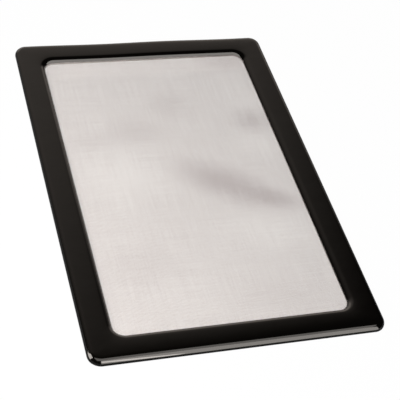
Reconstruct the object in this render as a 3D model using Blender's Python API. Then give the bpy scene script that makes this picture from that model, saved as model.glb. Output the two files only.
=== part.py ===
# Fan dust filter: a flexible magnetic frame that holds a sheet of fine mesh.
# A moulded cover carries four strips of magnet in a channel at its back, a thin
# film closes the back, and the rim of the mesh is held between cover and film.
# Metres, +Z up. X is the width, Y the length. The origin is on the flat back,
# at its centre, and the filter lies on its back.

from math import asin, cos, pi, radians, sin

import bpy
import bmesh
from mathutils import Vector

# Driving dimensions of the outline, seen from above
WIDTH = 0.122
LENGTH = 0.185
BORDER = 0.0121
CORNER_RADIUS = 0.005
WINDOW_RADIUS = 0.0048

# Heights of the layers, from the back up
FILM_THICKNESS = 0.00025
MAGNET_THICKNESS = 0.0008
ROOF_THICKNESS = 0.00105

# Widths inside the border
OUTER_WALL = 0.0024
LIP_WIDTH = 0.003

# Roundings of the cover's edges, and how far its middle bulges above them
OUTER_ROUNDING = 0.0023
INNER_ROUNDING = 0.002
CROWN = 0.00025

# The mesh, drawn coarse: a thin wall with a grid of openings, and a thread
# beside each opening that stands out as a ridge
MESH_WALL = 0.00008
RIDGE_HEIGHT = 0.00006
THREAD_WIDTH = 0.0024
THREAD_GAP = 0.0012
OPENINGS_ACROSS = 8
OPENINGS_ALONG = 12

# Room between neighbours
CLEARANCE = 0.0003

# Steps along a corner, along a rounding and across the middle of the border
CORNER_STEPS = 8
ROUNDING_STEPS = 6
MIDDLE_STEPS = 5

# Smallest radius of a corner inside the cover
LEAST_RADIUS = 0.0002

# Sharpest angle that is shaded smooth, and the least that counts as a fold
SMOOTH_ANGLE = radians(35)
FLAT_ANGLE = radians(0.2)

# Two places closer than this are the same one
SAME_PLACE = 0.00001

# Heights worked out from the layers: both the strips and the mesh lie on the film
MAGNET_BOTTOM = FILM_THICKNESS + CLEARANCE
MAGNET_TOP = MAGNET_BOTTOM + MAGNET_THICKNESS
CHANNEL_CEILING = MAGNET_TOP + CLEARANCE
MESH_BOTTOM = FILM_THICKNESS + CLEARANCE
MESH_TOP = MESH_BOTTOM + MESH_WALL + 2 * RIDGE_HEIGHT
LIP_BOTTOM = MESH_TOP + CLEARANCE
THICKNESS = max(CHANNEL_CEILING, LIP_BOTTOM) + ROOF_THICKNESS
SHOULDER = THICKNESS - CROWN

# Places worked out from the widths
LIP_INSET = BORDER - LIP_WIDTH
WINDOW_X = WIDTH - 2 * BORDER
WINDOW_Y = LENGTH - 2 * BORDER
THREAD_PITCH = THREAD_WIDTH + THREAD_GAP

# Finishes: a linear colour, the roughness and the metallic value
MOULDED_VINYL = ((0.0060, 0.0052, 0.0048), 0.22, 0.0)
VINYL_FILM = ((0.010, 0.0095, 0.009), 0.45, 0.0)
MAGNET_RUBBER = ((0.032, 0.026, 0.022), 0.7, 0.0)
WOVEN_MESH = ((0.66, 0.62, 0.59), 0.6, 0.0)


def clear_scene():
    """Empty the scene that Blender starts with."""
    for item in list(bpy.data.objects):
        bpy.data.objects.remove(item, do_unlink=True)


def material_of(name, finish):
    """A plain material with the colour, roughness and metallic value given."""
    color, roughness, metallic = finish
    material = bpy.data.materials.new(name)
    material.use_nodes = True
    shader = material.node_tree.nodes["Principled BSDF"]
    shader.inputs["Base Color"].default_value = (*color, 1.0)
    shader.inputs["Roughness"].default_value = roughness
    shader.inputs["Metallic"].default_value = metallic
    material.diffuse_color = (*color, 1.0)
    return material


def add_object(name, bm, material, smooth=True):
    """Turn a bmesh into an object of its own, with its faces pointing out."""
    bmesh.ops.recalc_face_normals(bm, faces=bm.faces[:])
    mesh = bpy.data.meshes.new(name)
    bm.to_mesh(mesh)
    bm.free()
    if smooth:
        mesh.shade_smooth()
        mesh.set_sharp_from_angle(angle=SMOOTH_ANGLE)
    mesh.materials.append(material)
    piece = bpy.data.objects.new(name, mesh)
    bpy.context.scene.collection.objects.link(piece)
    return piece


def outer_radius(inset):
    """Corner radius of a line that runs beside the outside edge."""
    return max(CORNER_RADIUS - inset, LEAST_RADIUS)


def window_radius(inset):
    """Corner radius of a line that runs beside the window."""
    return WINDOW_RADIUS + BORDER - inset


def rounded_loop(bm, inset, height, radius):
    """The points of a closed line: a rectangle with round corners, inset from
    the outside edge."""
    middle_x = WIDTH / 2 - inset - radius
    middle_y = LENGTH / 2 - inset - radius
    points = []
    for corner, (side_x, side_y) in enumerate(((1, 1), (-1, 1), (-1, -1), (1, -1))):
        for step in range(CORNER_STEPS + 1):
            angle = (corner + step / CORNER_STEPS) * pi / 2
            x = side_x * middle_x + radius * cos(angle)
            y = side_y * middle_y + radius * sin(angle)
            points.append(bm.verts.new((x, y, height)))
    return points


def sweep(section):
    """Carry a closed section around the frame. Each of its points is an inset
    from the outside edge, a height, and the radius of its corners."""
    bm = bmesh.new()
    loops = [rounded_loop(bm, inset, height, radius) for inset, height, radius in section]
    for first, second in zip(loops, loops[1:] + loops[:1]):
        for i in range(len(first)):
            bm.faces.new((first[i - 1], first[i], second[i], second[i - 1]))
    return bm


def rounding(radius, foot):
    """A round edge, from its foot up to the shoulder, where it is level: pairs
    of a distance from the edge and a height. It stands upright at its foot if
    the radius is less than the wall's height, and leans in if it is more."""
    center = SHOULDER - radius
    start = asin(max(0.0, foot - center) / radius)
    pairs = [(0.0, foot)] if start == 0.0 else []
    for step in range(ROUNDING_STEPS + 1):
        angle = start + (pi / 2 - start) * step / ROUNDING_STEPS
        pairs.append((radius * (cos(start) - cos(angle)), center + radius * sin(angle)))
    return pairs


def bulge(inset):
    """How far the crown lifts the cover's face: most along the border's middle."""
    across = 2 * inset / BORDER - 1
    return CROWN * (1 - across * across)


def face_line():
    """The cover's face in section, from its outside edge to the window."""
    outer = [(depth, height, outer_radius(depth)) for depth, height in rounding(OUTER_ROUNDING, 0.0)]
    inner = []
    for depth, height in reversed(rounding(INNER_ROUNDING, LIP_BOTTOM)):
        inset = BORDER - depth
        inner.append((inset, height, window_radius(inset)))
    middle = []
    for step in range(1, MIDDLE_STEPS):
        share = step / MIDDLE_STEPS
        inset = outer[-1][0] * (1 - share) + inner[0][0] * share
        radius = outer_radius(inset) * (1 - share) + window_radius(inset) * share
        middle.append((inset, SHOULDER, radius))
    return [(inset, height + bulge(inset), radius) for inset, height, radius in outer + middle + inner]


def front_cover(material):
    """The moulded frame: a rounded face with a channel and a lip below it."""
    section = face_line() + [
        (LIP_INSET, LIP_BOTTOM, window_radius(LIP_INSET)),
        (LIP_INSET, CHANNEL_CEILING, window_radius(LIP_INSET)),
        (OUTER_WALL, CHANNEL_CEILING, outer_radius(OUTER_WALL)),
        (OUTER_WALL, 0.0, outer_radius(OUTER_WALL)),
    ]
    return add_object("front_cover", sweep(section), material)


def back_cover(material):
    """The film that closes the back: it lies inside the cover's outer wall."""
    outside = OUTER_WALL + CLEARANCE
    section = [
        (outside, 0.0, outer_radius(outside)),
        (outside, FILM_THICKNESS, outer_radius(outside)),
        (BORDER, FILM_THICKNESS, WINDOW_RADIUS),
        (BORDER, 0.0, WINDOW_RADIUS),
    ]
    return add_object("back_cover", sweep(section), material)


def magnet_strip(name, center, size, material):
    """One straight strip of magnet, cut square at both ends."""
    bm = bmesh.new()
    bmesh.ops.create_cube(bm, size=1.0)
    bmesh.ops.scale(bm, vec=Vector(size), verts=bm.verts[:])
    bmesh.ops.translate(bm, vec=Vector(center), verts=bm.verts[:])
    return add_object(name, bm, material, smooth=False)


def magnet_strips(material):
    """Four strips: two run the length of the channel, two lie between them."""
    first = OUTER_WALL + CLEARANCE
    last = LIP_INSET - CLEARANCE
    strip = last - first
    middle_z = (MAGNET_BOTTOM + MAGNET_TOP) / 2
    side_x = WIDTH / 2 - (first + last) / 2
    end_y = LENGTH / 2 - (first + last) / 2
    long_side = LENGTH - 2 * max(CORNER_RADIUS, first)
    short_side = WIDTH - 2 * max(CORNER_RADIUS, last + CLEARANCE)
    for name, side in (("magnet_strip_left", -1), ("magnet_strip_right", 1)):
        magnet_strip(name, (side * side_x, 0.0, middle_z), (strip, long_side, MAGNET_THICKNESS), material)
    for name, side in (("magnet_strip_front", -1), ("magnet_strip_back", 1)):
        magnet_strip(name, (0.0, side * end_y, middle_z), (short_side, strip, MAGNET_THICKNESS), material)


def opening_middles(window, count):
    """Where the middles of the openings lie in one direction, spread evenly."""
    spacing = window / count
    return [(i + 0.5) * spacing - window / 2 for i in range(count)]


def thread_lines(window, count, rim):
    """Where the lines of one direction run, from edge to edge, each with how
    far it stands up: 1 along a thread's crest and 0 beside it. A thread runs
    on each side of every opening."""
    edge = window / 2 + rim
    reach = (window / count - THREAD_PITCH) / 2
    lines = [(-edge, 0)]
    for middle in opening_middles(window, count):
        for crest in (middle - reach, middle + reach):
            lines += [(crest - THREAD_WIDTH / 2, 0), (crest, 1), (crest + THREAD_WIDTH / 2, 0)]
    return lines + [(edge, 0)]


def lies_at(position, places):
    """Whether a position is one of the places."""
    return any(abs(position - place) < SAME_PLACE for place in places)


def filter_mesh(material):
    """The mesh: threads along Y stand out on its face and threads along X on
    its back, and there is an opening in each space that they leave."""
    rim = LIP_WIDTH - CLEARANCE
    across = thread_lines(WINDOW_X, OPENINGS_ACROSS, rim)
    along = thread_lines(WINDOW_Y, OPENINGS_ALONG, rim)
    columns = len(across) - 1
    rows = len(along) - 1
    bm = bmesh.new()
    crest_x = bm.verts.layers.int.new("crest_x")
    crest_y = bm.verts.layers.int.new("crest_y")
    bmesh.ops.create_grid(bm, x_segments=columns, y_segments=rows, size=1.0)
    for vert in bm.verts:
        x, up_x = across[round((vert.co.x + 1) / 2 * columns)]
        y, up_y = along[round((vert.co.y + 1) / 2 * rows)]
        vert.co = (x, y, 0.0)
        vert[crest_x] = up_x
        vert[crest_y] = up_y
    middles_x = opening_middles(WINDOW_X, OPENINGS_ACROSS)
    middles_y = opening_middles(WINDOW_Y, OPENINGS_ALONG)
    openings = []
    for face in bm.faces:
        middle = face.calc_center_median()
        if lies_at(middle.x, middles_x) and lies_at(middle.y, middles_y):
            openings.append(face)
    bmesh.ops.delete(bm, geom=openings, context="FACES")
    extruded = bmesh.ops.extrude_face_region(bm, geom=bm.faces[:])["geom"]
    upper = {item for item in extruded if isinstance(item, bmesh.types.BMVert)}
    for vert in bm.verts:
        if vert in upper:
            vert.co.z = MESH_TOP - RIDGE_HEIGHT * (1 - vert[crest_x])
        else:
            vert.co.z = MESH_BOTTOM + RIDGE_HEIGHT * (1 - vert[crest_y])
    bm.normal_update()
    flat = [edge for edge in bm.edges if edge.calc_face_angle() < FLAT_ANGLE]
    bmesh.ops.dissolve_edges(bm, edges=flat, use_verts=True)
    return add_object("filter_mesh", bm, material)


def main():
    clear_scene()
    front_cover(material_of("moulded_vinyl", MOULDED_VINYL))
    back_cover(material_of("vinyl_film", VINYL_FILM))
    magnet_strips(material_of("magnet_rubber", MAGNET_RUBBER))
    filter_mesh(material_of("woven_mesh", WOVEN_MESH))


main()
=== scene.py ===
# %% [markdown]
# # A fan dust filter, dressed for a picture
#
# The filter is a flat, glossy black frame of soft vinyl around a pale, finely
# woven mesh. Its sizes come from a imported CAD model, which this script loads
# first and doesn't reshape. The cover and the mesh are then modelled again with
# more detail, and every surface gets a material.

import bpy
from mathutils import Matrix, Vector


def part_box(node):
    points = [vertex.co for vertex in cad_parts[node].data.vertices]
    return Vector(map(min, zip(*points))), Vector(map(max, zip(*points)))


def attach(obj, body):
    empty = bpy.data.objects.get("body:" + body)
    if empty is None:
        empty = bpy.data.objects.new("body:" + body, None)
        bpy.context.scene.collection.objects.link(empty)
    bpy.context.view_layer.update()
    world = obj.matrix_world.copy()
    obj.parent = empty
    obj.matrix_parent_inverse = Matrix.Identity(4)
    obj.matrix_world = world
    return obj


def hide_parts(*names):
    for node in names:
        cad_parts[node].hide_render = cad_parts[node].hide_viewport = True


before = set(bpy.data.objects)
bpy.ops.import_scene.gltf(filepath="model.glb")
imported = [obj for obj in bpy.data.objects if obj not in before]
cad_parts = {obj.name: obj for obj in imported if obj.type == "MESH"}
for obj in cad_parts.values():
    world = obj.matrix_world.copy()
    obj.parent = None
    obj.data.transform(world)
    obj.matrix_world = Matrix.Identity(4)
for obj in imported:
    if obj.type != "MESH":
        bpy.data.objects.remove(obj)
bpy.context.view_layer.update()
print("CAD nodes:", ", ".join(sorted(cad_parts)))

# %% Modules
from math import cos, pi, radians, sin, sqrt

import bmesh
import bpy
from mathutils import Matrix, Vector, noise

MM = 0.001

# %% [markdown]
# ## Sizes
#
# All lengths are in metres. What the CAD model already settles is read from
# its boxes, so the new pieces fit it. The few sizes that a box can't give,
# such as the roundings and the mesh's rim under the lip, are named here.

# %% Sizes read from the frame
cover_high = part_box("front_cover")[1]
film_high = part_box("back_cover")[1]
sheet_low, sheet_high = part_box("filter_mesh")
strip_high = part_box("magnet_strip_left")[1]
half_width, half_length = cover_high.x, cover_high.y
face_height = cover_high.z
print(f"cover {2 * half_width / MM:.1f} x {2 * half_length / MM:.1f} mm, "
      f"{face_height / MM:.2f} mm thick")

# %% Sizes of the moulding
MESH_RIM = 2.7 * MM
CLEARANCE = 0.3 * MM
OUTER_RADIUS = 5.3 * MM
WINDOW_RADIUS = 4.8 * MM
OUTER_ROUNDING = 2.3 * MM
INNER_ROUNDING = 2.7 * MM
CROWN = 0.25 * MM
LIP_GAP = 0.1 * MM

window_x = sheet_high.x - MESH_RIM
window_y = sheet_high.y - MESH_RIM
border = half_width - window_x
outer_wall = half_width - film_high.x - CLEARANCE
lip_inset = border - MESH_RIM - CLEARANCE
channel_ceiling = strip_high.z + CLEARANCE
lip_height = sheet_high.z + LIP_GAP
print(f"border {border / MM:.1f} mm, window {2 * window_x / MM:.1f} x {2 * window_y / MM:.1f} mm")

# %% [markdown]
# ## The glossy cover
#
# The real cover is heat formed or moulded from soft vinyl: its face swells
# like a pillow between two full roundings, and a channel at its back holds the
# magnets. It could be a block with a hole cut by a Boolean, but that leaves
# ragged faces which spoil a gloss. Here it is laid out as lines, each a
# rectangle with round corners and the same number of points. Neighbouring
# lines are bridged with faces, and then the two upper edges are bevelled, so
# every face runs along the border and the highlights stay smooth.

# %% One closed line
CORNER_SEGMENTS = 14
SIDE_CUTS = 15
ASIDE = 10 * MM


def rounded_line(bm, inset, radius, height):
    """A closed line at an inset from the outside edge, made from a square face
    whose corners are bevelled. The face itself is thrown away."""
    before = set(bm.edges)
    square = bmesh.ops.create_grid(bm, x_segments=1, y_segments=1, size=1.0)["verts"]
    bmesh.ops.scale(bm, vec=(half_width - inset, half_length - inset, 1.0), verts=square)
    bmesh.ops.translate(bm, vec=(0.0, 0.0, height), verts=square)
    bmesh.ops.bevel(bm, geom=square, offset=radius, segments=CORNER_SEGMENTS,
                    profile=0.5, affect="VERTICES", material=-1)
    line = [edge for edge in bm.edges if edge not in before]
    faces = {face for edge in line for face in edge.link_faces}
    bmesh.ops.delete(bm, geom=list(faces), context="FACES_ONLY")
    sides = [edge for edge in line if edge.calc_length() > half_width]
    bmesh.ops.subdivide_edges(bm, edges=sides, cuts=SIDE_CUTS)
    return [edge for edge in bm.edges if edge not in before]


# %% Two lines joined
def points_of(edges):
    """The points that some edges join, each once."""
    return list({vert for edge in edges for vert in edge.verts})


def join_lines(bm, first, second):
    """Bridge two lines. Lines that lie in one plane are easily joined
    crosswise, so the second is held lower while they are joined."""
    points = points_of(second)
    bmesh.ops.translate(bm, vec=(0.0, 0.0, -ASIDE), verts=points)
    bmesh.ops.bridge_loops(bm, edges=first + second)
    bmesh.ops.translate(bm, vec=(0.0, 0.0, ASIDE), verts=points)


# %% [markdown]
# The inner rounding is cut at the lip, before it would stand upright. Its line
# is laid further in by what is lost below the cut, so that the cut edge falls
# just on the edge of the window.

# %% The cover's face
shoulder = face_height - CROWN
lip_rise = (lip_height - shoulder + INNER_ROUNDING) / INNER_ROUNDING
overhang = INNER_ROUNDING * (1 - sqrt(1 - lip_rise ** 2))
print(f"the inner rounding would reach {overhang / MM:.2f} mm into the window")

cover = bmesh.new()
foot = rounded_line(cover, 0.0, OUTER_RADIUS, 0.0)
outer_top = rounded_line(cover, 0.0, OUTER_RADIUS, shoulder)
wall_inset = border + overhang
wall_radius = WINDOW_RADIUS - overhang
window_top = rounded_line(cover, wall_inset, wall_radius, shoulder)
window_foot = rounded_line(cover, wall_inset, wall_radius, shoulder - 2 * INNER_ROUNDING)
join_lines(cover, outer_top, foot)
join_lines(cover, outer_top, window_top)
join_lines(cover, window_top, window_foot)
print(f"plain ring: {len(cover.faces)} faces")

# %% [markdown]
# The bevels turn the two upper edges into quarter circles. The strip between
# them is then cut lengthwise, so that it has points to lift into a crown.

# %% Bevel the edges
ROUNDING_SEGMENTS = 12
CROWN_CUTS = 7
LEVEL = 0.01 * MM


def level_at(edge, height):
    """Whether an edge lies at one height from end to end."""
    return all(abs(vert.co.z - height) < LEVEL for vert in edge.verts)


for line, radius in ((outer_top, OUTER_ROUNDING), (window_top, INNER_ROUNDING)):
    bmesh.ops.bevel(cover, geom=line, offset=radius, segments=ROUNDING_SEGMENTS,
                    profile=0.5, affect="EDGES", clamp_overlap=False, material=-1)
top_faces = {face for face in cover.faces
             if all(level_at(edge, shoulder) for edge in face.edges)}
crossing = [edge for edge in cover.edges
            if len(edge.link_faces) == 2 and all(face in top_faces for face in edge.link_faces)]
bmesh.ops.subdivide_edges(cover, edges=crossing, cuts=CROWN_CUTS, use_grid_fill=True)
print(f"rounded ring: {len(cover.faces)} faces, {len(crossing)} strips cut")

# %% [markdown]
# How far a point is across the border comes from its distance to two rounded
# rectangles, the outside edge and the window. That works on the straight
# sides and in the corners alike. The crown is a parabola across the border,
# with nothing added at its two edges and most in the middle.

# %% Raise the crown
def distance_inside(x, y, half_x, half_y, radius):
    """How far a point is inside a rectangle with round corners; below zero it
    is outside."""
    over_x = abs(x) - (half_x - radius)
    over_y = abs(y) - (half_y - radius)
    corner = sqrt(max(over_x, 0.0) ** 2 + max(over_y, 0.0) ** 2)
    return radius - corner - min(max(over_x, over_y), 0.0)


def share_across(x, y):
    """Where a point lies across the border: 0 at the outside, 1 at the window."""
    from_outside = max(distance_inside(x, y, half_width, half_length, OUTER_RADIUS), 0.0)
    from_window = max(-distance_inside(x, y, window_x, window_y, WINDOW_RADIUS), 0.0)
    return from_outside / (from_outside + from_window)


for vert in cover.verts:
    share = share_across(vert.co.x, vert.co.y)
    vert.co.z += CROWN * 4 * share * (1 - share) * min(1.0, vert.co.z / shoulder)
print(f"crowned to {max(vert.co.z for vert in cover.verts) / MM:.2f} mm")

# %% [markdown]
# The wall at the window stops just above the mesh, so it is cut there. The
# open lines are then joined round the back: under the lip, up into the
# channel and down again to the foot.

# %% Cut the window's wall and close the back
inner_faces = [face for face in cover.faces
               if share_across(*face.calc_center_median().xy) > 0.5]
inner = set(inner_faces)
for face in inner_faces:
    inner.update(face.edges)
    inner.update(face.verts)
cut = bmesh.ops.bisect_plane(cover, geom=list(inner), plane_co=(0.0, 0.0, lip_height),
                             plane_no=(0.0, 0.0, 1.0), clear_inner=True)["geom_cut"]
lip_edge = [item for item in cut if isinstance(item, bmesh.types.BMEdge)]
foot = [edge for edge in cover.edges if edge.is_boundary and level_at(edge, 0.0)]

channel_window = WINDOW_RADIUS + border - lip_inset
wall_corner = OUTER_RADIUS - outer_wall
lip_back = rounded_line(cover, lip_inset, channel_window, lip_height)
channel_inside = rounded_line(cover, lip_inset, channel_window, channel_ceiling)
channel_outside = rounded_line(cover, outer_wall, wall_corner, channel_ceiling)
foot_inside = rounded_line(cover, outer_wall, wall_corner, 0.0)
join_lines(cover, lip_edge, lip_back)
join_lines(cover, lip_back, channel_inside)
join_lines(cover, channel_inside, channel_outside)
join_lines(cover, channel_outside, foot_inside)
join_lines(cover, foot_inside, foot)
open_edges = sum(edge.is_boundary for edge in cover.edges)
print(f"closed cover: {len(cover.faces)} faces, {open_edges} open edges")

# %% [markdown]
# Soft vinyl is never quite straight. The far side wavers by a few tenths of a
# millimetre and lies slightly askew, and the left side bows out a little, all
# in the plane of the table. The shifts fade out towards the filter's middle.

# %% Let the sides waver
FAR_WAVER = 0.22 * MM
WAVER_LENGTH = 64 * MM
WAVER_CREST = 12 * MM
FAR_TILT = 0.25 * MM
LEFT_BOW = 0.15 * MM
FADE_POWER = 4

for vert in cover.verts:
    to_far = max(vert.co.y / half_length, 0.0)
    to_left = max(-vert.co.x / half_width, 0.0)
    swell = cos(2 * pi * (vert.co.x - WAVER_CREST) / WAVER_LENGTH)
    bow = cos(pi * vert.co.y / (2 * half_length))
    tilt = -vert.co.x / half_width
    vert.co.y += (FAR_WAVER * swell + FAR_TILT * tilt) * to_far ** FADE_POWER
    vert.co.x -= LEFT_BOW * bow * to_left ** FADE_POWER
past_far = max(vert.co.y for vert in cover.verts) - half_length
past_left = -min(vert.co.x for vert in cover.verts) - half_width
print(f"the sides reach {past_far / MM:.2f} mm further back, {past_left / MM:.2f} mm further left")

# %% A finished piece
SHARPEST_SMOOTH = radians(35)


def finish_piece(name, bm):
    """Turn a bmesh into a shown piece: its object sits at the origin, and it
    is shaded smooth up to the sharpest angle."""
    mesh = bpy.data.meshes.new(name)
    bm.to_mesh(mesh)
    bm.free()
    mesh.shade_smooth()
    mesh.set_sharp_from_angle(angle=SHARPEST_SMOOTH)
    piece = bpy.data.objects.new(name, mesh)
    bpy.context.scene.collection.objects.link(piece)
    triangles = sum(len(face.vertices) - 2 for face in mesh.polygons)
    print(f"{name}: {triangles} triangles")
    return piece


bmesh.ops.recalc_face_normals(cover, faces=cover.faces[:])
glossy_cover = finish_piece("glossy_cover", cover)
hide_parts("front_cover")
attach(glossy_cover, "root")

# %% [markdown]
# ## The woven mesh
#
# The mesh is a plain weave of thin polyester thread, about two threads to the
# millimetre. It could be a flat sheet with holes painted as transparency, but
# then it would have no threads from near. Here each thread is a thin rod: one
# is made and divided along its length, so that it can follow a gentle wave, and
# `spin` with no turn and a step sideways copies it across the sheet. At this
# pitch the way threads pass over and under can't be seen, so the two directions
# lie on each other, which keeps each thread to about fifty faces.

# %% One direction of threads
THREAD_PITCH = 0.45 * MM
THREAD_WIDTH = 0.20 * MM
THREAD_HEIGHT = 0.14 * MM
THREAD_SIDES = 4
THREAD_CUTS = 11


def lay_threads(bm, turn, length, span, height):
    """Threads of one direction: a rod along Y is stepped across in X, and the
    whole lay is then turned about the middle and lifted."""
    rod = bmesh.ops.create_cone(bm, cap_ends=True, segments=THREAD_SIDES, depth=length,
                                radius1=THREAD_WIDTH / 2, radius2=THREAD_WIDTH / 2)["verts"]
    edges = {edge for vert in rod for edge in vert.link_edges}
    long_edges = [edge for edge in edges if edge.calc_length() > length / 2]
    bmesh.ops.subdivide_edges(bm, edges=long_edges, cuts=THREAD_CUTS, use_grid_fill=True)
    rod = [vert for vert in bm.verts if not vert.tag]
    bmesh.ops.rotate(bm, matrix=Matrix.Rotation(pi / 2, 3, "X"), verts=rod)
    bmesh.ops.scale(bm, vec=(1.0, 1.0, THREAD_HEIGHT / THREAD_WIDTH), verts=rod)
    count = int((span - THREAD_WIDTH) / THREAD_PITCH) + 1
    bmesh.ops.translate(bm, vec=(-(count - 1) * THREAD_PITCH / 2, 0.0, 0.0), verts=rod)
    parts = {item for vert in rod for item in (vert, *vert.link_edges, *vert.link_faces)}
    bmesh.ops.spin(bm, geom=list(parts), cent=(0, 0, 0), axis=(0, 0, 1), angle=0.0,
                   dvec=(THREAD_PITCH, 0.0, 0.0), steps=count - 1, use_merge=False,
                   use_duplicate=True)
    lay = [vert for vert in bm.verts if not vert.tag]
    bmesh.ops.rotate(bm, matrix=Matrix.Rotation(turn, 3, "Z"), verts=lay)
    bmesh.ops.translate(bm, vec=(0.0, 0.0, height), verts=lay)
    for vert in lay:
        vert.tag = True
    return count


# %% Lay both directions
sheet_x, sheet_y = 2 * sheet_high.x, 2 * sheet_high.y
sheet_middle = (sheet_low.z + sheet_high.z) / 2
threads = bmesh.new()
warp = lay_threads(threads, 0.0, sheet_y, sheet_x, sheet_middle + THREAD_HEIGHT / 2)
weft = lay_threads(threads, pi / 2, sheet_x, sheet_y, sheet_middle - THREAD_HEIGHT / 2)
print(f"{warp} threads lengthwise, {weft} across")

# %% [markdown]
# A sheet held only at its rim is never quite flat. A slow noise lifts and
# lowers it by up to a quarter of a millimetre, and fades out smoothly towards
# the window's edge, where the cover holds it down.

# %% Let the sheet wave a little
WAVE_HEIGHT = 0.25 * MM
WAVE_LENGTH = 45 * MM
HELD_WIDTH = 15 * MM

for vert in threads.verts:
    inside = distance_inside(vert.co.x, vert.co.y, window_x, window_y, WINDOW_RADIUS)
    free = min(max(inside, 0.0) / HELD_WIDTH, 1.0)
    wave = noise.noise(Vector((vert.co.x, vert.co.y, 0.0)) / WAVE_LENGTH)
    vert.co.z += WAVE_HEIGHT * wave * free * free * (3 - 2 * free)
lowest = min(vert.co.z for vert in threads.verts)
highest = max(vert.co.z for vert in threads.verts)
print(f"threads lie from {lowest / MM:.2f} to {highest / MM:.2f} mm above the cover's foot")
bmesh.ops.recalc_face_normals(threads, faces=threads.faces[:])
woven_mesh = finish_piece("woven_mesh", threads)
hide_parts("filter_mesh")
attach(woven_mesh, "root")

# %% [markdown]
# ## Materials
#
# Every colour is written as it would be in a paint program, as an sRGB hex
# value, and one function turns it into the linear values that Blender wants.
# Another small function adds a node with its settings and links.

# %% Colour and node helpers
def linear(hex_color):
    """An sRGB hex colour as linear red, green, blue and alpha."""
    shares = [int(hex_color[i:i + 2], 16) / 255 for i in (1, 3, 5)]
    return [s / 12.92 if s <= 0.04045 else ((s + 0.055) / 1.055) ** 2.4 for s in shares] + [1.0]


def add_node(tree, kind, inputs=None, **settings):
    """Add a node, set its own settings, and fill its sockets: a socket takes a
    value or another node's output."""
    node = tree.nodes.new(kind)
    for name, value in settings.items():
        setattr(node, name, value)
    for name, value in (inputs or {}).items():
        if isinstance(value, bpy.types.NodeSocket):
            tree.links.new(value, node.inputs[name])
        else:
            node.inputs[name].default_value = value
    return node


def new_material(name):
    """A material with its shader and its output joined, and the place on the
    object that its patterns are drawn by."""
    material = bpy.data.materials.new(name)
    material.use_nodes = True
    tree = material.node_tree
    tree.nodes.clear()
    shader = add_node(tree, "ShaderNodeBsdfPrincipled")
    add_node(tree, "ShaderNodeOutputMaterial", {"Surface": shader.outputs["BSDF"]})
    place = add_node(tree, "ShaderNodeTexCoord").outputs["Object"]
    return material, tree, shader, place


# %% [markdown]
# ### Moulded vinyl
#
# The cover is soft PVC coloured with carbon black and pressed against a
# polished mould. The eye gets a deep, slightly warm black with a wet gloss,
# whose highlights waver a little because the soft skin isn't quite flat, and
# small differences in gloss where it has been handled.

# %% Vinyl, moulded glossy
SKIN_WAVE = 9 * MM
SKIN_DEPTH = 0.05 * MM
HANDLING = 28 * MM
ROUGH_CLEAN, ROUGH_HANDLED = 0.06, 0.1
VINYL_IOR = 1.54

vinyl, tree, shader, place = new_material("pvc_moulded_glossy")
shader.inputs["Base Color"].default_value = linear("#060504")
shader.inputs["IOR"].default_value = VINYL_IOR
handled = add_node(tree, "ShaderNodeTexNoise",
                   {"Vector": place, "Scale": 1 / HANDLING, "Detail": 4.0, "Roughness": 0.6})
gloss = add_node(tree, "ShaderNodeMapRange", {
    "Value": handled.outputs["Fac"], "From Min": 0.35, "From Max": 0.7,
    "To Min": ROUGH_CLEAN, "To Max": ROUGH_HANDLED})
tree.links.new(gloss.outputs["Result"], shader.inputs["Roughness"])
skin = add_node(tree, "ShaderNodeTexNoise",
                {"Vector": place, "Scale": 1 / SKIN_WAVE, "Detail": 2.0, "Roughness": 0.4})
uneven = add_node(tree, "ShaderNodeBump",
                  {"Height": skin.outputs["Fac"], "Distance": SKIN_DEPTH, "Strength": 1.0})
tree.links.new(uneven.outputs["Normal"], shader.inputs["Normal"])
print(f"{vinyl.name}: {len(tree.nodes)} nodes")

# %% [markdown]
# ### Vinyl film
#
# The back is a film of the same PVC, rolled between steel rollers with a
# satin grain. The eye gets a greyer, duller black with a fine, even tooth.

# %% Vinyl, calendered film
FILM_GRAIN = 0.6 * MM
TOOTH_DEPTH = 0.02 * MM
FILM_ROUGHNESS = 0.45

film, tree, shader, place = new_material("pvc_film_satin")
shader.inputs["IOR"].default_value = VINYL_IOR
shader.inputs["Roughness"].default_value = FILM_ROUGHNESS
grain = add_node(tree, "ShaderNodeTexNoise",
                 {"Vector": place, "Scale": 1 / FILM_GRAIN, "Detail": 3.0, "Roughness": 0.55})
shade = add_node(tree, "ShaderNodeMix", {
    0: grain.outputs["Fac"], 6: linear("#161413"), 7: linear("#242120")}, data_type="RGBA")
tree.links.new(shade.outputs[2], shader.inputs["Base Color"])
tooth = add_node(tree, "ShaderNodeBump",
                 {"Height": grain.outputs["Fac"], "Distance": TOOTH_DEPTH, "Strength": 1.0})
tree.links.new(tooth.outputs["Normal"], shader.inputs["Normal"])
print(f"{film.name}: {len(tree.nodes)} nodes")

# %% [markdown]
# ### Magnet rubber
#
# The strips are rubber filled with ferrite powder and rolled flat. The eye
# gets a matt, brownish dark grey with a grainy, slightly pitted surface. They
# lie inside the cover, so at most a sliver shows at the gap beside the film.

# %% Ferrite rubber, rolled
FERRITE_GRAIN = 0.35 * MM
PIT_DEPTH = 0.03 * MM
FERRITE_ROUGHNESS = 0.7

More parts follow.
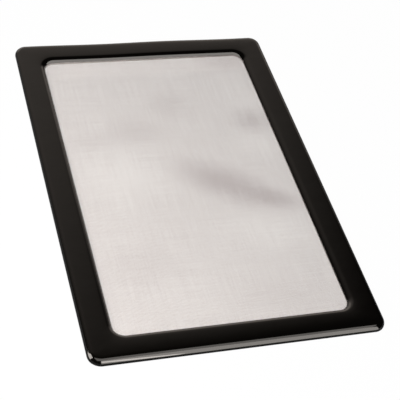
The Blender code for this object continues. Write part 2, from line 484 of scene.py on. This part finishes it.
ferrite, tree, shader, place = new_material("ferrite_rubber_rolled")
shader.inputs["Roughness"].default_value = FERRITE_ROUGHNESS
powder = add_node(tree, "ShaderNodeTexNoise",
                  {"Vector": place, "Scale": 1 / FERRITE_GRAIN, "Detail": 4.0, "Roughness": 0.7})
shade = add_node(tree, "ShaderNodeMix", {
    0: powder.outputs["Fac"], 6: linear("#2a2522"), 7: linear("#443c37")}, data_type="RGBA")
tree.links.new(shade.outputs[2], shader.inputs["Base Color"])
pits = add_node(tree, "ShaderNodeBump",
                {"Height": powder.outputs["Fac"], "Distance": PIT_DEPTH, "Strength": 1.0})
tree.links.new(pits.outputs["Normal"], shader.inputs["Normal"])
print(f"{ferrite.name}: {len(tree.nodes)} nodes")

# %% [markdown]
# ### Polyester thread
#
# The mesh is woven from fine polyester monofilament, drawn through a die and
# left its natural pale grey. The eye gets a soft, warm light grey with a faint
# satin. No two threads are quite alike, so fine lines run both ways. They are
# drawn coarser than the 0.45 mm from thread to thread, because lines of that
# pitch would be lost in the picture. Soft patches of painted light and shade
# make the sheet a little paler or darker where its slack would catch more or
# less light.

# %% Polyester, woven
THREAD_LINE = 0.7 * MM
THREAD_RUN = 24 * MM
LINE_TONE = 0.075
DARK_TONE, PALE_TONE = 0.5, 1.2
POLYESTER_ROUGHNESS = 0.5
POLYESTER_IOR = 1.57

polyester, tree, shader, place = new_material("polyester_monofilament_woven")
shader.inputs["Roughness"].default_value = POLYESTER_ROUGHNESS
shader.inputs["IOR"].default_value = POLYESTER_IOR

# Each patch paints light or shade into the thread's colour: the place of its
# middle, its half length and half width, all in millimetres, its turn in
# degrees, and how much paler or darker it is painted
PAINTED_SHADING_PATCHES = (
    (18, -6, 38, 15, -34, -0.50),
    (38, -17, 18, 8, -24, -0.34),
    (-26, 3, 34, 28, 0, 0.16),
    (-15, 31, 20, 13, 0, -0.16),
    (-36, 27, 18, 9, 0, -0.08),
    (4, 47, 14, 14, 0, -0.16),
    (41, 33, 14, 12, 0, -0.30),
    (41, 52, 15, 16, 0, 0.08),
    (38, 17, 18, 16, 0, 0.14),
    (41, 76, 22, 12, 0, -0.30),
    (28, -35, 34, 18, -8, 0.16),
    (-32, -47, 24, 18, 0, -0.10),
    (26, -70, 34, 14, 0, -0.10),
)
# Paint each patch's light or shade into the thread's tone
painted_shading_and_tone = 1.0
for x, y, half_long, half_wide, turn, painted_shift in PAINTED_SHADING_PATCHES:
    spot = add_node(tree, "ShaderNodeMapping", {
        "Vector": place, "Location": (x * MM, y * MM, 0.0),
        "Rotation": (0.0, 0.0, radians(turn)),
        "Scale": (half_long * MM, half_wide * MM, 1.0)}, vector_type="TEXTURE")
    bell = add_node(tree, "ShaderNodeTexGradient", {"Vector": spot.outputs["Vector"]},
                    gradient_type="SPHERICAL")
    soft = add_node(tree, "ShaderNodeMapRange", {"Value": bell.outputs["Fac"]},
                    interpolation_type="SMOOTHSTEP")
    patched = add_node(tree, "ShaderNodeMath",
                       {0: soft.outputs["Result"], 1: painted_shift, 2: painted_shading_and_tone}, operation="MULTIPLY_ADD")
    painted_shading_and_tone = patched.outputs[0]
for scale_x, scale_y in ((1 / THREAD_LINE, 1 / THREAD_RUN), (1 / THREAD_RUN, 1 / THREAD_LINE)):
    drawn = add_node(tree, "ShaderNodeMapping", {"Vector": place, "Scale": (scale_x, scale_y, 0.0)})
    lines = add_node(tree, "ShaderNodeTexNoise",
                     {"Vector": drawn.outputs["Vector"], "Scale": 1.0, "Detail": 2.0})
    uneven = add_node(tree, "ShaderNodeMapRange", {
        "Value": lines.outputs["Fac"], "From Min": 0.3, "From Max": 0.7,
        "To Min": -LINE_TONE, "To Max": LINE_TONE})
    lined = add_node(tree, "ShaderNodeMath", {0: painted_shading_and_tone, 1: uneven.outputs["Result"]},
                     operation="ADD")
    painted_shading_and_tone = lined.outputs[0]
# The tone holds the painted light and shade of the patches and the threads' own fine lines, and picks a
# colour between the dark and the pale end
paleness = add_node(tree, "ShaderNodeMapRange",
                    {"Value": painted_shading_and_tone, "From Min": DARK_TONE, "From Max": PALE_TONE})
shade = add_node(tree, "ShaderNodeMix", {
    0: paleness.outputs["Result"], 6: linear("#9e8b86"), 7: linear("#dcd4ce")}, data_type="RGBA")
tree.links.new(shade.outputs[2], shader.inputs["Base Color"])
print(f"{polyester.name}: {len(tree.nodes)} nodes, {len(PAINTED_SHADING_PATCHES)} patches")

# %% Dress the pieces
dress = {"back_cover": film}
for side in ("left", "right", "front", "back"):
    dress[f"magnet_strip_{side}"] = ferrite
for node, material in dress.items():
    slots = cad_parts[node].data.materials
    slots.clear()
    slots.append(material)
glossy_cover.data.materials.append(vinyl)
woven_mesh.data.materials.append(polyester)
print(f"{len(dress)} nodes and 2 new pieces dressed")

# %% [markdown]
# ## The studio
#
# The filter lies on a pale table under soft light. A floor could be lit until
# it is white, but then its light would bleach the filter. Here the floor shows
# as nearly white to the camera by itself, mixes in a little of its lit surface,
# which keeps the filter's shadow, and looks dim in the gloss, so that the cover
# stays black. It lies a hair below the filter, so that the two never coincide.
# Its substance is a matt white board, and the eye gets a plain, even white.

# %% The floor
FLOOR_REACH = 4.0
FLOOR_DROP = 0.05 * MM
SHOWN_WHITE = 0.98
FLOOR_IN_GLOSS = 0.2
TABLE_ROUGHNESS = 0.9

plane = bmesh.new()
bmesh.ops.create_grid(plane, x_segments=1, y_segments=1, size=FLOOR_REACH)
bmesh.ops.translate(plane, vec=(0.0, 0.0, -FLOOR_DROP), verts=plane.verts[:])
floor = finish_piece("floor", plane)

table, tree, shader, _ = new_material("table_matt_white")
shader.inputs["Base Color"].default_value = linear("#f2f1ef")
shader.inputs["Roughness"].default_value = TABLE_ROUGHNESS
rays = add_node(tree, "ShaderNodeLightPath").outputs
seen = add_node(tree, "ShaderNodeMath",
                {0: rays["Is Camera Ray"], 1: rays["Is Transmission Ray"]}, operation="MAXIMUM")
seen = add_node(tree, "ShaderNodeMath",
                {0: seen.outputs[0], 1: rays["Is Glossy Ray"]}, operation="MAXIMUM")
shown = add_node(tree, "ShaderNodeMath", {0: seen.outputs[0], 1: SHOWN_WHITE},
                 operation="MULTIPLY")
strength = add_node(tree, "ShaderNodeMix",
                    {0: rays["Is Glossy Ray"], 2: 1.0, 3: FLOOR_IN_GLOSS})
white = add_node(tree, "ShaderNodeEmission", {"Strength": strength.outputs[0]})
mixed = add_node(tree, "ShaderNodeMixShader",
                 {0: shown.outputs[0], 1: shader.outputs["BSDF"], 2: white.outputs["Emission"]})
tree.links.new(mixed.outputs["Shader"], tree.nodes["Material Output"].inputs["Surface"])
floor.data.materials.append(table)
print(f"{table.name}: {SHOWN_WHITE:.0%} of it white by itself, {FLOOR_IN_GLOSS} as bright in the gloss")

# %% [markdown]
# The world is white to the camera. A black gloss shows what it reflects more
# than its own colour, and a white room would turn it grey. So to the gloss the
# world is a dark room with a dim, slightly warm glow low behind the filter,
# and a wider band under it near the floor. To matt surfaces it is an even,
# weak light.

# %% A direction
def toward(heading, elevation):
    """The direction at a heading, which turns from +Y towards +X, and an
    elevation above the floor, both in degrees."""
    flat = cos(radians(elevation))
    return Vector((sin(radians(heading)) * flat,
                   cos(radians(heading)) * flat,
                   sin(radians(elevation))))


# %% The world
FILL = 0.32
GLOSS_FILL = 0.01
GLOW_TOWARD = toward(-5, 15)
GLOW_FULL, GLOW_END = radians(14), radians(52)
GLOW = 0.57
BAND_TOWARD = toward(12, 0)
BAND_FULL, BAND_END = radians(30), radians(48)
BAND_TOP_FULL, BAND_TOP = radians(24), radians(36)
BAND = 0.65

world = bpy.data.worlds.new("studio")
bpy.context.scene.world = world
world.use_nodes = True
tree = world.node_tree
tree.nodes.clear()
rays = add_node(tree, "ShaderNodeLightPath").outputs
direction = add_node(tree, "ShaderNodeTexCoord").outputs["Generated"]

near_glow = add_node(tree, "ShaderNodeVectorMath", {0: direction, 1: GLOW_TOWARD},
                     operation="DOT_PRODUCT")
glow = add_node(tree, "ShaderNodeMapRange", {
    "Value": near_glow.outputs["Value"], "From Min": cos(GLOW_END), "From Max": cos(GLOW_FULL),
    "To Min": GLOSS_FILL, "To Max": GLOW}, interpolation_type="SMOOTHSTEP")
near_band = add_node(tree, "ShaderNodeVectorMath", {0: direction, 1: BAND_TOWARD},
                     operation="DOT_PRODUCT")
band_sides = add_node(tree, "ShaderNodeMapRange", {
    "Value": near_band.outputs["Value"], "From Min": cos(BAND_END), "From Max": cos(BAND_FULL),
    "To Max": BAND}, interpolation_type="SMOOTHSTEP")
upward = add_node(tree, "ShaderNodeSeparateXYZ", {"Vector": direction}).outputs["Z"]
band_top = add_node(tree, "ShaderNodeMapRange", {
    "Value": upward, "From Min": sin(BAND_TOP), "From Max": sin(BAND_TOP_FULL)},
    interpolation_type="SMOOTHSTEP")
gloss = add_node(tree, "ShaderNodeMath", {
    0: band_sides.outputs["Result"], 1: band_top.outputs["Result"], 2: glow.outputs["Result"]},
    operation="MULTIPLY_ADD")
light = add_node(tree, "ShaderNodeMix", {0: rays["Is Glossy Ray"], 2: FILL, 3: gloss.outputs[0]})
seen = add_node(tree, "ShaderNodeMath",
                {0: rays["Is Camera Ray"], 1: rays["Is Transmission Ray"]}, operation="MAXIMUM")
light = add_node(tree, "ShaderNodeMix", {0: seen.outputs[0], 2: light.outputs[0], 3: 1.0})
tint = add_node(tree, "ShaderNodeMix", {
    0: rays["Is Glossy Ray"], 6: linear("#ffffff"), 7: linear("#fff1e5")}, data_type="RGBA")
sky = add_node(tree, "ShaderNodeBackground",
               {"Color": tint.outputs[2], "Strength": light.outputs[0]})
add_node(tree, "ShaderNodeOutputWorld", {"Surface": sky.outputs["Background"]})
print(f"{world.name}: fill {FILL}, glow {GLOW}, band {BAND}")

# %% [markdown]
# Each lamp is a lit rectangle, given by where it stands, by its size and by how
# bright its face looks, where 1 is white. The key softbox stands close at the
# left, so the mesh is palest there. The others are small cards within a few
# centimetres of the filter, as a photographer of small glossy things uses them:
# they only show in the gloss. Large lamps further off would draw the same lines,
# but seen from behind they would turn the whole face white. The front, top and
# table cards draw the long highlight on the near edge, the slanted corner card
# brightens its left end, the left card lights the near left corner, and the far
# card lights the rounding beyond the mesh.

# %% A softbox
CARD_TINT = "#fff8f1"


def softbox(name, middle, aim, width, height, brightness, for_gloss, roll=0.0):
    """A rectangular lamp whose face has a given brightness. It either shows in
    the gloss or lights matt surfaces."""
    lamp = bpy.data.lights.new(name, "AREA")
    lamp.shape = "RECTANGLE"
    lamp.size, lamp.size_y = width, height
    lamp.energy = brightness * pi * width * height
    if for_gloss:
        lamp.color = linear(CARD_TINT)[:3]
    box = bpy.data.objects.new(name, lamp)
    box.location = middle
    facing = (Vector(aim) - Vector(middle)).to_track_quat("-Z", "Y").to_matrix()
    box.rotation_euler = (facing @ Matrix.Rotation(roll, 3, "Z")).to_euler()
    box.visible_camera = False
    box.visible_glossy = for_gloss
    box.visible_diffuse = not for_gloss
    bpy.context.scene.collection.objects.link(box)
    print(f"{name}: {lamp.energy:.3f} W")


# %% The cards
AHEAD = Vector((0.0, 1.0, 0.0))
RIGHT = Vector((1.0, 0.0, 0.0))
UP = Vector((0.0, 0.0, 1.0))
near_edge = Vector((0.0, -half_length, 0.0))
near_left_corner = Vector((-half_width, -half_length, 0.0))
far_window_edge = Vector((0.0, window_y, 0.0))

# Each card: the part of the filter that it stands by, the steps from there to
# its middle along X, Y and Z in millimetres, the way it faces, its width and
# height in millimetres, its brightness and its roll in degrees
CARDS = {
    "front_card": (near_edge, (13, -30, 22), AHEAD, 142, 46, 4.7, 0),
    "corner_card": (near_edge, (-38, -29.5, 12), AHEAD, 45, 13.5, 7.0, -34),
    "top_card": (near_edge, (-2.5, -8.5, 30), -UP, 145, 23, 2.1, 0),
    "table_card": (near_edge, (18, -17, 0.5), UP, 100, 26, 2.6, 0),
    "left_card": (near_left_corner, (-28, 12.6, 17), RIGHT, 23.2, 34, 9.0, 0),
    "far_card": (far_window_edge, (3.25, -12, 11.5), AHEAD, 94.5, 18, 4.2, 0),
}
for name, (part, steps, facing, width, height, brightness, roll) in CARDS.items():
    middle = part + Vector(steps) * MM
    softbox(name, middle, middle + facing, width * MM, height * MM, brightness,
            for_gloss=True, roll=radians(roll))

# %% The key softbox
KEY_PLACE = (-0.205, -0.08, 0.18)
KEY_AIM = (-0.12, -0.06, 0.0)
KEY_SIDE = 0.24
KEY_BRIGHTNESS = 5.35

softbox("key_softbox", KEY_PLACE, KEY_AIM, KEY_SIDE, KEY_SIDE, KEY_BRIGHTNESS, for_gloss=False)

# %% [markdown]
# ## The camera
#
# The camera looks down at the filter from the front and a little to its left,
# tilted to one side. It is placed by its direction and distance from the spot
# it aims at, with the horizon rolled.

# %% Camera
CAMERA_AIM = Vector((3.2, -13.4, 0.0)) * MM
CAMERA_HEADING = radians(24.07)
CAMERA_ELEVATION = radians(45.24)
CAMERA_DISTANCE = 0.4959
CAMERA_ROLL = radians(12.69)
FOCAL_LENGTH = 103.56

lens = bpy.data.cameras.new("camera")
lens.lens = FOCAL_LENGTH
camera = bpy.data.objects.new("camera", lens)
bpy.context.scene.collection.objects.link(camera)
ahead = Vector((sin(CAMERA_HEADING) * cos(CAMERA_ELEVATION),
                cos(CAMERA_HEADING) * cos(CAMERA_ELEVATION),
                -sin(CAMERA_ELEVATION)))
turned = ahead.to_track_quat("-Z", "Y").to_matrix() @ Matrix.Rotation(CAMERA_ROLL, 3, "Z")
camera.rotation_euler = turned.to_euler()
camera.location = CAMERA_AIM - ahead * CAMERA_DISTANCE
bpy.context.scene.camera = camera
bpy.context.scene.view_settings.view_transform = "Standard"
print("camera at", [round(x, 4) for x in camera.location],
      "turned", [round(x, 4) for x in camera.rotation_euler])
